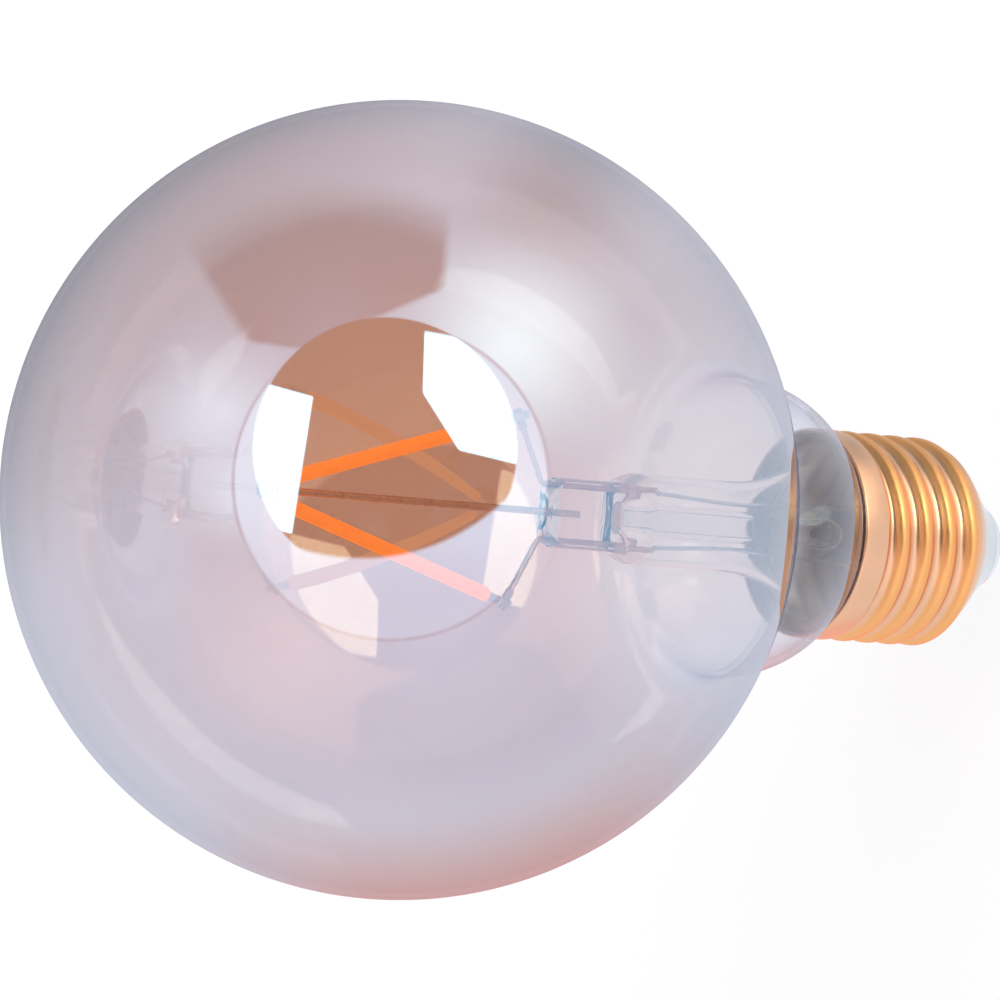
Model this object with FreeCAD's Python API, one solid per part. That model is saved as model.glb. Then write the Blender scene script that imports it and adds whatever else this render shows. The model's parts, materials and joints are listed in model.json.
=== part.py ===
import FreeCAD
import Part
import math
import os

# Globe lamp with two filaments and a 27 mm screw cap, in millimetres.
# The origin is the centre of the end contact's flat face, +Z runs along the lamp towards the crown,
# and the two filaments make a V in the XZ plane.

# Globe and neck
GLOBE_DIAMETER = 95.0
GLASS_WALL = 0.8
NECK_FILLET_RADIUS = 5.6
NECK_BULGE_DIAMETER = 37.4
NECK_BULGE_ROUND = 16.2
NECK_ROOT_ROUND = 1.0
NECK_ROOT_DEPTH = 0.6

# Screw shell
CAP_HEIGHT = 28.0
CREST_DIAMETER = 26.3
THREAD_DEPTH = 1.1
THREAD_PITCH = 3.629
THREAD_PHASE_HEIGHT = 15.35
THREAD_RUN_OUT = 1.5
SHELL_WALL = 0.3
SKIRT_HEIGHT = 3.2
RIM_CHAMFER_HEIGHT = 0.35
RIM_CHAMFER_WIDTH = 0.1
SHOULDER_HEIGHT = 3.45
SHOULDER_TURN = 60.0
NOSE_HEIGHT = 7.15
LIP_DIAMETER = 21.0

# Cement that holds the glass neck in the shell
CEMENT_THICKNESS = 0.35
CEMENT_SET_BACK = 0.4
SEAT_CLEARANCE = 0.05
NECK_DEPTH = 3.0

# Insulator and end contact
CONTACT_DIAMETER = 10.6
CONTACT_FLAT_DIAMETER = 7.2
CONTACT_THICKNESS = 1.2
RIVET_DIAMETER = 2.4
RIVET_HEAD_DIAMETER = 3.6
RIVET_HEAD_THICKNESS = 0.6
INSULATOR_FLOOR = 2.2
INSULATOR_WALL = 2.2
RIM_CLEARANCE = 0.15
RIM_WALL = 1.4
LEDGE_HEIGHT = 2.8
LEDGE_WIDTH = 1.6
RIM_HEIGHT = 1.6

# Driver board and its parts
BOARD_THICKNESS = 1.0
BOARD_CLEARANCE = 0.25
PART_EDGE_MARGIN = 1.0
CAPACITOR_DIAMETER = 6.3
CAPACITOR_HEIGHT = 10.0
CAPACITOR_GROOVE = 0.35
CAPACITOR_GROOVE_HEIGHT = 2.0
RECTIFIER_SIZE = (4.7, 3.9, 1.5)
CHIP_SIZE = (3.9, 2.5, 1.5)
RESISTOR_SIZE = (2.0, 1.25, 0.55)
LEG_THICKNESS = 0.25
LEG_REACH = 0.9
LEG_WIDTH = 0.6
LEG_PITCH = 2.5
CHIP_LEG_PITCH = 1.5
FUSE_DIAMETER = 2.4
FUSE_LENGTH = 3.0
FUSE_END_ROUND = 0.75
FUSE_WIRE_DIAMETER = 0.6
SHELL_WIRE_DIAMETER = 0.7
SHELL_WIRE_ANGLE = -46.0
SHELL_WIRE_INSET = 1.5

# Glass stem
STEM_LENGTH = 41.4
STEM_DIAMETER = 11.2
STEM_WALL = 1.0
FLARE_HEIGHT = 15.0
FOOT_EDGE = 0.6
SEAL_BAND = 0.8
PINCH_HEIGHT = 4.0
PRESS_HEIGHT = 8.2
PRESS_THICKNESS = 4.6
PRESS_ROUND = 0.8
SEAL_MARGIN = 1.0
JAW_OVERRUN = 0.3
CAVITY_TAPER = 4.0
CAVITY_CROWN = 1.5
BLOW_HOLE_DIAMETER = 2.2
BLOW_HOLE_RISE = 1.6

# Exhaust tube
EXHAUST_DIAMETER = 4.0
EXHAUST_WALL = 0.8
EXHAUST_TIP_POINT = 0.6
EXHAUST_TIP_GLASS = 1.2
EXHAUST_TIP_CLEARANCE = 1.0

# Wires
SEAL_WIRE_DIAMETER = 0.6
SEAL_WIRE_TAIL = 1.4
INNER_LEAD_DIAMETER = 0.7
INNER_LEAD_EMBED = 1.5
INNER_LEAD_RISE = 1.3
INNER_LEAD_BEND = 1.2
OUTER_LEAD_DIAMETER = 0.5
OUTER_LEAD_GAP = 0.45
OUTER_LEAD_BEND = 60.0
LEAD_PAD_RADIUS = 3.9
WELD_BEAD_DIAMETER = 1.1
FLAT_THICKNESS = 0.4
LEAD_FLAT_WIDTH = 1.0
LEAD_FLAT_LENGTH = 2.6
LEAD_FLAT_OVERHANG = 0.9
ROD_DIAMETER = 0.85
ROD_EMBED = 4.0
ROD_LENGTH = 40.6
ROD_FLAT_WIDTH = 1.5
ROD_FLAT_LENGTH = 2.6
ROD_FLAT_OVERHANG = 0.7

# Filaments
FILAMENT_LENGTH = 38.0
STICK_DIAMETER = 1.75
STICK_ROUND = 0.5
LUG_LENGTH = 3.5
LUG_WIDTH = 1.0
LUG_THICKNESS = 0.3
LUG_EMBED = 1.2
LUG_WELD = 1.2
V_HALF_ANGLE = 17.0
APEX_OFFSET = 0.5

# How finely the rolled thread and the insulator's seat are sampled
THREAD_SECTIONS = 48
SAMPLES_PER_TURN = 6
SEAT_SAMPLES = 6

# Radii and levels that follow from the sizes above
globe_radius = GLOBE_DIAMETER / 2
crest_radius = CREST_DIAMETER / 2
root_radius = crest_radius - THREAD_DEPTH
lip_radius = LIP_DIAMETER / 2
neck_radius = crest_radius - SHELL_WALL - CEMENT_THICKNESS
neck_bore = neck_radius - GLASS_WALL
thread_top = CAP_HEIGHT - SKIRT_HEIGHT
shoulder_top = NOSE_HEIGHT + SHOULDER_HEIGHT
neck_end = CAP_HEIGHT - NECK_DEPTH

contact_radius = CONTACT_DIAMETER / 2
rivet_radius = RIVET_DIAMETER / 2
floor_top = CONTACT_THICKNESS + INSULATOR_FLOOR
rim_radius = root_radius - SHELL_WALL - RIM_CLEARANCE
ledge_level = NOSE_HEIGHT + LEDGE_HEIGHT
rim_top = ledge_level + RIM_HEIGHT
board_top = ledge_level + BOARD_THICKNESS
board_radius = rim_radius - RIM_WALL - BOARD_CLEARANCE

stem_radius = STEM_DIAMETER / 2
stem_bore = stem_radius - STEM_WALL
exhaust_radius = EXHAUST_DIAMETER / 2
exhaust_bore = exhaust_radius - EXHAUST_WALL
lead_offset = (exhaust_radius + stem_bore) / 2
press_half_width = lead_offset + SEAL_MARGIN
flare_top = neck_end + FLARE_HEIGHT
press_top = neck_end + STEM_LENGTH
press_base = press_top - PRESS_HEIGHT
pinch_base = press_base - PINCH_HEIGHT
cavity_top = press_base - CAVITY_CROWN
cavity_shoulder = cavity_top - CAVITY_TAPER
weld_level = cavity_shoulder - SEAL_WIRE_TAIL
apex_level = press_top + ROD_LENGTH

bulge_radius = NECK_BULGE_DIAMETER / 2
bulge_centre_radius = bulge_radius - NECK_BULGE_ROUND
root_centre_radius = neck_radius + NECK_ROOT_ROUND
fillet_centre_radius = bulge_radius + NECK_FILLET_RADIUS
root_level = CAP_HEIGHT - NECK_ROOT_DEPTH
bulge_level = root_level + math.sqrt(
    (NECK_BULGE_ROUND + NECK_ROOT_ROUND) ** 2 - (root_centre_radius - bulge_centre_radius) ** 2
)
globe_centre = bulge_level + math.sqrt(
    (globe_radius + NECK_FILLET_RADIUS) ** 2 - fillet_centre_radius ** 2
)

AXIS = FreeCAD.Vector(0, 0, 1)
ORIGIN = FreeCAD.Vector(0, 0, 0)


def point(radius, height):
    return FreeCAD.Vector(radius, 0, height)


class Profile:
    """A closed outline in the XZ half plane, drawn edge by edge from a first point."""

    def __init__(self, radius, height):
        self.first = point(radius, height)
        self.last = self.first
        self.edges = []

    def line(self, radius, height):
        end = point(radius, height)
        self.edges.append(Part.LineSegment(self.last, end).toShape())
        self.last = end
        return self

    def arc_about(self, centre, radius, height):
        """Arc of less than half a turn about a known centre."""
        end = point(radius, height)
        middle = (self.last - centre) + (end - centre)
        middle.normalize()
        middle = centre + middle * (end - centre).Length
        self.edges.append(Part.Arc(self.last, middle, end).toShape())
        self.last = end
        return self

    def arc_from_axis_direction(self, radius, height):
        """Arc that leaves the last point parallel to the axis."""
        step = radius - self.last.x
        rise = height - self.last.z
        centre = point(self.last.x + (step ** 2 + rise ** 2) / (2 * step), self.last.z)
        return self.arc_about(centre, radius, height)

    def arc_to_axis_direction(self, radius, height):
        """Arc that arrives at its end parallel to the axis."""
        step = self.last.x - radius
        rise = self.last.z - height
        centre = point(radius + (step ** 2 + rise ** 2) / (2 * step), height)
        return self.arc_about(centre, radius, height)

    def ogee(self, radius, height):
        """Two equal arcs that leave and arrive parallel to the axis."""
        middle = (self.last + point(radius, height)) * 0.5
        self.arc_from_axis_direction(middle.x, middle.z)
        return self.arc_to_axis_direction(radius, height)

    def curve(self, points):
        """Smooth curve through the last point and the given ones."""
        spline = Part.BSplineCurve()
        spline.interpolate([self.last] + points)
        self.edges.append(spline.toShape())
        self.last = points[-1]
        return self

    def face(self):
        if (self.last - self.first).Length > 0:
            self.line(self.first.x, self.first.z)
        return Part.Face(Part.Wire(self.edges))

    def revolve(self):
        return self.face().revolve(ORIGIN, AXIS, 360)


def half_turn(shape, index):
    """Index 1 stays as drawn, index 2 is turned half way round the axis."""
    copy = shape.copy()
    copy.rotate(ORIGIN, AXIS, 180 * (index - 1))
    return copy


def block(size, centre_x, centre_y, base):
    length, width, height = size
    corner = FreeCAD.Vector(centre_x - length / 2, centre_y - width / 2, base)
    return Part.makeBox(length, width, height, corner)


def bent_wire(points, diameter, bend_radius):
    """Round wire in the XZ plane along straight runs joined by tangent arcs."""
    edges = []
    start = points[0]
    for previous, corner, following in zip(points, points[1:], points[2:]):
        incoming = (corner - previous).normalize()
        outgoing = (following - corner).normalize()
        turn = incoming.getAngle(outgoing)
        trim = bend_radius * math.tan(turn / 2)
        arc_start = corner - incoming * trim
        arc_end = corner + outgoing * trim
        inward = (outgoing - incoming).normalize()
        centre = corner + inward * (bend_radius / math.cos(turn / 2))
        arc_middle = centre - inward * bend_radius
        edges.append(Part.LineSegment(start, arc_start).toShape())
        edges.append(Part.Arc(arc_start, arc_middle, arc_end).toShape())
        start = arc_end
    edges.append(Part.LineSegment(start, points[-1]).toShape())
    path = Part.Wire(edges)
    direction = points[1] - points[0]
    section = Part.Wire(Part.makeCircle(diameter / 2, points[0], direction))
    return path.makePipeShell([section], True, False)


# Rolled thread of the shell

def smooth_step(value):
    value = min(max(value, 0.0), 1.0)
    return value * value * (3 - 2 * value)


def thread_radius(height, angle):
    """Outer radius of the endless round thread: equal crest and root arcs that meet tangent."""
    quarter_pitch = THREAD_PITCH / 4
    half_depth = THREAD_DEPTH / 2
    arc_radius = (quarter_pitch ** 2 + half_depth ** 2) / (2 * half_depth)
    turns = (height - THREAD_PHASE_HEIGHT) / THREAD_PITCH - angle / (2 * math.pi)
    from_crest = abs(turns - round(turns)) * THREAD_PITCH
    if from_crest <= quarter_pitch:
        return crest_radius - arc_radius + math.sqrt(arc_radius ** 2 - from_crest ** 2)
    from_root = THREAD_PITCH / 2 - from_crest
    return root_radius + arc_radius - math.sqrt(arc_radius ** 2 - from_root ** 2)


def shoulder_radius(height):
    """Outer radius of the rounded shoulder between the lowest turn and the lip."""
    turn = math.radians(SHOULDER_TURN)
    share = (height - NOSE_HEIGHT) / SHOULDER_HEIGHT
    return lip_radius + (crest_radius - lip_radius) * math.sin(turn * share) / math.sin(turn)


def shoulder_height(radius):
    """Height on the shoulder where its outer radius has the given value."""
    turn = math.radians(SHOULDER_TURN)
    share = math.sin(turn) * (radius - lip_radius) / (crest_radius - lip_radius)
    return NOSE_HEIGHT + SHOULDER_HEIGHT * math.asin(share) / turn


seat_top = shoulder_height(rim_radius + SHELL_WALL + SEAT_CLEARANCE)


def shell_radius(height, angle):
    """Outer radius of the shell: shoulder, thread, and the run-out below the plain skirt."""
    fade = smooth_step((thread_top - height) / THREAD_RUN_OUT)
    threaded = crest_radius + (thread_radius(height, angle) - crest_radius) * fade
    if height >= shoulder_top:
        return threaded
    blend = smooth_step((height - seat_top) / (shoulder_top - seat_top))
    return shoulder_radius(height) + (threaded - shoulder_radius(height)) * blend


def shell_section(angle, heights):
    """Cross-section of the sheet metal in the half plane at one angle round the axis."""
    outline = Profile(shell_radius(heights[0], angle), heights[0])
    outline.curve([point(shell_radius(height, angle), height) for height in heights[1:]])
    outline.line(crest_radius, CAP_HEIGHT - RIM_CHAMFER_HEIGHT)
    outline.line(crest_radius - RIM_CHAMFER_WIDTH, CAP_HEIGHT)
    outline.line(crest_radius - SHELL_WALL, CAP_HEIGHT)
    outline.line(crest_radius - SHELL_WALL, heights[-1])
    inner = [point(shell_radius(height, angle) - SHELL_WALL, height) for height in heights[::-1]]
    outline.curve(inner[1:])
    outline.line(outline.first.x, outline.first.z)
    section = Part.Wire(outline.edges)
    section.rotate(ORIGIN, AXIS, math.degrees(angle))
    return section


def make_screw_shell():
    count = round((thread_top - NOSE_HEIGHT) / THREAD_PITCH * SAMPLES_PER_TURN)
    step = (thread_top - NOSE_HEIGHT) / count
    heights = [NOSE_HEIGHT + step * index for index in range(count + 1)]
    angles = [2 * math.pi * index / THREAD_SECTIONS for index in range(THREAD_SECTIONS)]
    sections = [shell_section(angle, heights) for angle in angles]
    return Part.makeLoft(sections, True, True, True)


# Glass

def make_globe_envelope():
    """Globe, concave fillet, bulging neck and the straight end in the cap, with an even wall."""
    centre = point(0, globe_centre)
    fillet = point(fillet_centre_radius, bulge_level)
    bulge = point(bulge_centre_radius, bulge_level)
    root = point(root_centre_radius, root_level)
    towards_fillet = (fillet - centre).normalize()
    towards_root = (root - bulge).normalize()
    outer_top = centre + towards_fillet * globe_radius
    outer_low = bulge + towards_root * NECK_BULGE_ROUND
    inner_top = centre + towards_fillet * (globe_radius - GLASS_WALL)
    inner_low = bulge + towards_root * (NECK_BULGE_ROUND - GLASS_WALL)
    outline = Profile(0, globe_centre + globe_radius)
    outline.arc_about(centre, outer_top.x, outer_top.z)
    outline.arc_about(fillet, bulge_radius, bulge_level)
    outline.arc_about(bulge, outer_low.x, outer_low.z)
    outline.arc_about(root, neck_radius, root_level)
    outline.line(neck_radius, neck_end)
    outline.line(neck_bore, neck_end)
    outline.line(neck_bore, root_level)
    outline.arc_about(root, inner_low.x, inner_low.z)
    outline.arc_about(bulge, bulge_radius - GLASS_WALL, bulge_level)
    outline.arc_about(fillet, inner_top.x, inner_top.z)
    outline.arc_about(centre, 0, globe_centre + globe_radius - GLASS_WALL)
    return outline.revolve()


def make_pinch_jaw():
    """Space that a forming jaw takes on the +Y side of the press."""
    reach = stem_radius + JAW_OVERRUN
    outline = Profile(reach, pinch_base)
    outline.ogee(PRESS_THICKNESS / 2, press_base)
    outline.line(PRESS_THICKNESS / 2, press_top + JAW_OVERRUN)
    outline.line(reach, press_top + JAW_OVERRUN)
    face = outline.face()
    face.rotate(ORIGIN, AXIS, 90)
    face.translate(FreeCAD.Vector(-reach, 0, 0))
    return face.extrude(FreeCAD.Vector(2 * reach, 0, 0))


def make_blow_hole():
    """Way from the exhaust tube's bore, up into the press and out at its -Y face."""
    radius = BLOW_HOLE_DIAMETER / 2
    riser = Part.makeCylinder(exhaust_bore, BLOW_HOLE_RISE, FreeCAD.Vector(0, 0, cavity_top), AXIS)
    outlet_start = FreeCAD.Vector(0, 0, cavity_top + BLOW_HOLE_RISE)
    outlet = Part.makeCylinder(radius, stem_radius, outlet_start, FreeCAD.Vector(0, -1, 0))
    return riser.fuse(outlet)


def make_stem_tube(sealed_wires):
    outline = Profile(neck_bore - FOOT_EDGE, neck_end)
    outline.line(neck_bore, neck_end)
    outline.line(neck_bore, neck_end + SEAL_BAND)
    outline.arc_to_axis_direction(stem_radius, flare_top)
    outline.line(stem_radius, pinch_base)
    outline.ogee(press_half_width, press_base)
    outline.line(press_half_width, press_top - PRESS_ROUND)
    round_centre = point(press_half_width - PRESS_ROUND, press_top - PRESS_ROUND)
    outline.arc_about(round_centre, press_half_width - PRESS_ROUND, press_top)
    outline.line(0, press_top)
    outline.line(0, cavity_top)
    outline.line(exhaust_radius, cavity_top)
    outline.ogee(stem_bore, cavity_shoulder)
    outline.line(stem_bore, flare_top)
    outline.arc_from_axis_direction(neck_bore - FOOT_EDGE, neck_end)
    glass = outline.revolve()
    jaw = make_pinch_jaw()
    return glass.cut([jaw, half_turn(jaw, 2), make_blow_hole()] + sealed_wires)


def make_exhaust_tube():
    tip = board_top + CAPACITOR_HEIGHT + EXHAUST_TIP_CLEARANCE
    taper_top = tip + exhaust_radius + EXHAUST_TIP_POINT
    bore_end = tip + EXHAUST_TIP_GLASS
    outline = Profile(exhaust_radius, cavity_top)
    outline.line(exhaust_bore, cavity_top)
    outline.line(exhaust_bore, taper_top)
    outline.line(0, bore_end)
    outline.line(0, tip)
    outline.arc_to_axis_direction(exhaust_radius, taper_top)
    return outline.revolve()


# Filaments, wires and support

fall = math.radians(V_HALF_ANGLE)
filament_direction = FreeCAD.Vector(math.sin(fall), 0, -math.cos(fall))
filament_side = -(FLAT_THICKNESS + LUG_THICKNESS) / 2
weld_point = point(APEX_OFFSET, apex_level) + filament_direction * (FILAMENT_LENGTH - LUG_WELD)


def place_filament(shape):
    """From its own axis along +Z to its leg of the V."""
    shape.rotate(ORIGIN, FreeCAD.Vector(0, 1, 0), 180 - V_HALF_ANGLE)
    shape.translate(FreeCAD.Vector(APEX_OFFSET, filament_side, apex_level))
    return shape


def make_lug(start):
    return block((LUG_WIDTH, LUG_THICKNESS, LUG_LENGTH + LUG_EMBED), 0, 0, start)


def make_filament(lugs):
    radius = STICK_DIAMETER / 2
    low = LUG_LENGTH
    high = FILAMENT_LENGTH - LUG_LENGTH
    outline = Profile(0, low)
    outline.line(radius - STICK_ROUND, low)
    outline.arc_about(point(radius - STICK_ROUND, low + STICK_ROUND), radius, low + STICK_ROUND)
    outline.line(radius, high - STICK_ROUND)
    outline.arc_about(point(radius - STICK_ROUND, high - STICK_ROUND), radius - STICK_ROUND, high)
    outline.line(0, high)
    return outline.revolve().cut(lugs)


def make_inner_lead():
    start = point(lead_offset, press_top - INNER_LEAD_EMBED)
    corner = point(lead_offset, press_top + INNER_LEAD_RISE)
    run = (weld_point - corner).normalize()
    flat_start = weld_point + run * (LEAD_FLAT_OVERHANG - LEAD_FLAT_LENGTH)
    wire = bent_wire([start, corner, flat_start], INNER_LEAD_DIAMETER, INNER_LEAD_BEND)
    flat = block((LEAD_FLAT_WIDTH, FLAT_THICKNESS, LEAD_FLAT_LENGTH), 0, 0, 0)
    flat.rotate(ORIGIN, FreeCAD.Vector(0, 1, 0), math.degrees(AXIS.getAngle(run)))
    flat.translate(flat_start)
    return wire.fuse(flat).removeSplitter()


def make_seal_wire():
    base = point(lead_offset, weld_level)
    length = press_top - INNER_LEAD_EMBED - weld_level
    return Part.makeCylinder(SEAL_WIRE_DIAMETER / 2, length, base, AXIS)


def make_outer_lead(seal_wire):
    waist = exhaust_radius + OUTER_LEAD_GAP + OUTER_LEAD_DIAMETER / 2
    top = point(lead_offset, weld_level)
    route = [top, point(waist, flare_top), point(LEAD_PAD_RADIUS, board_top)]
    wire = bent_wire(route[::-1], OUTER_LEAD_DIAMETER, OUTER_LEAD_BEND)
    bead = Part.makeSphere(WELD_BEAD_DIAMETER / 2, top)
    below_board = Part.makeCylinder(board_radius, BOARD_THICKNESS, point(0, ledge_level), AXIS)
    return wire.fuse(bead).cut([seal_wire, below_board])


def make_support_rod():
    base = press_top - ROD_EMBED
    flat_base = apex_level + ROD_FLAT_OVERHANG - ROD_FLAT_LENGTH
    rod = Part.makeCylinder(ROD_DIAMETER / 2, flat_base - base, point(0, base), AXIS)
    flat = block((ROD_FLAT_WIDTH, FLAT_THICKNESS, ROD_FLAT_LENGTH), 0, 0, flat_base)
    return rod.fuse(flat)


# Cap

def make_cap_cement():
    inner = neck_radius
    outer = crest_radius - SHELL_WALL - SEAT_CLEARANCE
    low = neck_end + CEMENT_SET_BACK
    return Profile(inner, low).line(outer, low).line(outer, root_level).line(inner, root_level).revolve()


def make_cap_insulator():
    lip = lip_radius - SHELL_WALL - SEAT_CLEARANCE
    seat_rise = (seat_top - NOSE_HEIGHT) / SEAT_SAMPLES
    seat = []
    for index in range(1, SEAT_SAMPLES + 1):
        height = NOSE_HEIGHT + seat_rise * index
        seat.append(point(shoulder_radius(height) - SHELL_WALL - SEAT_CLEARANCE, height))
    outline = Profile(rivet_radius, CONTACT_THICKNESS)
    outline.line(contact_radius, CONTACT_THICKNESS)
    outline.line(lip, NOSE_HEIGHT)
    outline.curve(seat)
    outline.line(rim_radius, rim_top)
    outline.line(rim_radius - RIM_WALL, rim_top)
    outline.line(rim_radius - RIM_WALL, ledge_level)
    outline.line(rim_radius - RIM_WALL - LEDGE_WIDTH, ledge_level)
    outline.line(lip - INSULATOR_WALL, NOSE_HEIGHT)
    outline.line(contact_radius - rivet_radius, floor_top)
    outline.line(rivet_radius, floor_top)
    return outline.revolve()


def make_centre_contact():
    outline = Profile(0, 0)
    outline.line(CONTACT_FLAT_DIAMETER / 2, 0)
    outline.arc_to_axis_direction(contact_radius, CONTACT_THICKNESS)
    outline.line(rivet_radius, CONTACT_THICKNESS)
    outline.line(rivet_radius, floor_top)
    outline.line(RIVET_HEAD_DIAMETER / 2, floor_top)
    outline.line(RIVET_HEAD_DIAMETER / 2, floor_top + RIVET_HEAD_THICKNESS / 2)
    outline.line(rivet_radius, floor_top + RIVET_HEAD_THICKNESS)
    outline.line(0, floor_top + RIVET_HEAD_THICKNESS)
    return outline.revolve()


# Driver

def make_driver_board():
    return Part.makeCylinder(board_radius, BOARD_THICKNESS, point(0, ledge_level), AXIS)


def make_smoothing_capacitor():
    radius = CAPACITOR_DIAMETER / 2
    groove = board_top + CAPACITOR_GROOVE_HEIGHT
    top = board_top + CAPACITOR_HEIGHT
    outline = Profile(0, board_top)
    outline.line(radius - CAPACITOR_GROOVE, board_top)
    outline.line(radius, board_top + CAPACITOR_GROOVE)
    outline.line(radius, groove - CAPACITOR_GROOVE)
    outline.line(radius - CAPACITOR_GROOVE, groove)
    outline.line(radius, groove + CAPACITOR_GROOVE)
    outline.line(radius, top - CAPACITOR_GROOVE)
    outline.line(radius - CAPACITOR_GROOVE, top)
    outline.line(0, top)
    can = outline.revolve()
    can.translate(FreeCAD.Vector(0, board_radius - radius - PART_EDGE_MARGIN, 0))
    return can


def make_legged_part(size, centre_x, centre_y, leg_pitch):
    """Moulded body raised on two rows of flat legs along its long sides."""
    length, width, height = size
    body = block((length, width, height - LEG_THICKNESS), centre_x, centre_y, board_top + LEG_THICKNESS)
    leg = (LEG_WIDTH, width + 2 * LEG_REACH, LEG_THICKNESS)
    legs = [block(leg, centre_x + side * leg_pitch / 2, centre_y, board_top) for side in (-1, 1)]
    return body.fuse(legs).removeSplitter()


def make_bridge_rectifier():
    reach = RECTIFIER_SIZE[1] / 2 + LEG_REACH
    centre_y = -(board_radius - reach - PART_EDGE_MARGIN)
    return make_legged_part(RECTIFIER_SIZE, 0, centre_y, LEG_PITCH)


def make_driver_chip():
    reach = CHIP_SIZE[0] / 2
    return make_legged_part(CHIP_SIZE, board_radius - reach - PART_EDGE_MARGIN, 0, CHIP_LEG_PITCH)


def make_chip_resistors():
    centre_x = -(board_radius - RESISTOR_SIZE[0] / 2 - PART_EDGE_MARGIN)
    pair = [block(RESISTOR_SIZE, centre_x, side * RESISTOR_SIZE[1], board_top) for side in (-1, 1)]
    return Part.makeCompound(pair)


def make_fuse_resistor():
    low = floor_top + RIVET_HEAD_THICKNESS
    middle = (low + ledge_level) / 2
    body_low = middle - FUSE_LENGTH / 2
    body_high = middle + FUSE_LENGTH / 2
    wire = FUSE_WIRE_DIAMETER / 2
    radius = FUSE_DIAMETER / 2
    outline = Profile(0, low)
    outline.line(wire, low)
    outline.line(wire, body_low)
    outline.arc_to_axis_direction(radius, body_low + FUSE_END_ROUND)
    outline.line(radius, body_high - FUSE_END_ROUND)
    outline.arc_from_axis_direction(wire, body_high)
    outline.line(wire, ledge_level)
    outline.line(0, ledge_level)
    return outline.revolve()


def make_shell_wire():
    """Wire from the board over the insulator's rim into the first turn above it."""
    radius = SHELL_WIRE_DIAMETER / 2
    turns = SHELL_WIRE_ANGLE / 360
    lowest = rim_top + radius
    whole = math.ceil((lowest - THREAD_PHASE_HEIGHT) / THREAD_PITCH - turns)
    level = THREAD_PHASE_HEIGHT + THREAD_PITCH * (whole + turns)
    wall = shell_radius(level + radius, math.radians(SHELL_WIRE_ANGLE)) - SHELL_WALL
    start = board_radius - SHELL_WIRE_INSET
    route = [point(start, board_top), point(start, level), point(wall - SEAT_CLEARANCE, level)]
    wire = bent_wire(route, SHELL_WIRE_DIAMETER, SHELL_WIRE_DIAMETER)
    wire.rotate(ORIGIN, AXIS, SHELL_WIRE_ANGLE)
    return wire


# All pieces, by name

nodes = {}
nodes["globe_envelope"] = make_globe_envelope()
nodes["centre_support_rod"] = make_support_rod()

inner_lead = make_inner_lead()
seal_wire = make_seal_wire()
outer_lead = make_outer_lead(seal_wire)
apex_lug = make_lug(0)
lead_lug = make_lug(FILAMENT_LENGTH - LUG_LENGTH - LUG_EMBED)
filament = make_filament([apex_lug, lead_lug])
for piece in (filament, apex_lug, lead_lug):
    place_filament(piece)
for index in (1, 2):
    nodes[f"inner_lead_{index}"] = half_turn(inner_lead, index)
    nodes[f"seal_wire_{index}"] = half_turn(seal_wire, index)
    nodes[f"outer_lead_{index}"] = half_turn(outer_lead, index)
    nodes[f"filament_{index}"] = half_turn(filament, index)
    nodes[f"filament_{index}_apex_lug"] = half_turn(apex_lug, index)
    nodes[f"filament_{index}_lead_lug"] = half_turn(lead_lug, index)

sealed_names = ["centre_support_rod", "inner_lead_1", "inner_lead_2", "seal_wire_1", "seal_wire_2"]
nodes["stem_tube"] = make_stem_tube([nodes[name] for name in sealed_names])
nodes["exhaust_tube"] = make_exhaust_tube()

nodes["screw_shell"] = make_screw_shell()
nodes["cap_cement"] = make_cap_cement()
nodes["cap_insulator"] = make_cap_insulator()
nodes["centre_contact"] = make_centre_contact()

nodes["driver_board"] = make_driver_board()
nodes["smoothing_capacitor"] = make_smoothing_capacitor()
nodes["bridge_rectifier"] = make_bridge_rectifier()
nodes["driver_chip"] = make_driver_chip()
nodes["chip_resistors"] = make_chip_resistors()
nodes["fuse_resistor"] = make_fuse_resistor()
nodes["shell_wire"] = make_shell_wire()

os.makedirs("parts", exist_ok=True)
for name, shape in nodes.items():
    shape.exportStep(f"parts/{name}.step")
    print(f"{name}: {len(shape.Solids)} solid, {shape.Volume:.2f} mm3")
print(f"overall length {globe_centre + globe_radius:.2f} mm")
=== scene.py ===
# %% [markdown]
# # A globe lamp with a mirror film
# The lamp is a blown glass globe with a thin amber mirror film, a V of LED filaments on a glass stem,
# and a gold-coloured screw cap. The pieces that the eye goes to (globe, stem and thread) are modelled
# here again with smooth, dense meshes; wires, lugs, tip and driver keep the frame's own meshes and get
# a finish. The lamp stands on its end contact, with +Z towards the crown.

# %% Load the frame
import json
import math
from collections import namedtuple

import bpy
from mathutils import Matrix, Vector


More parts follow.
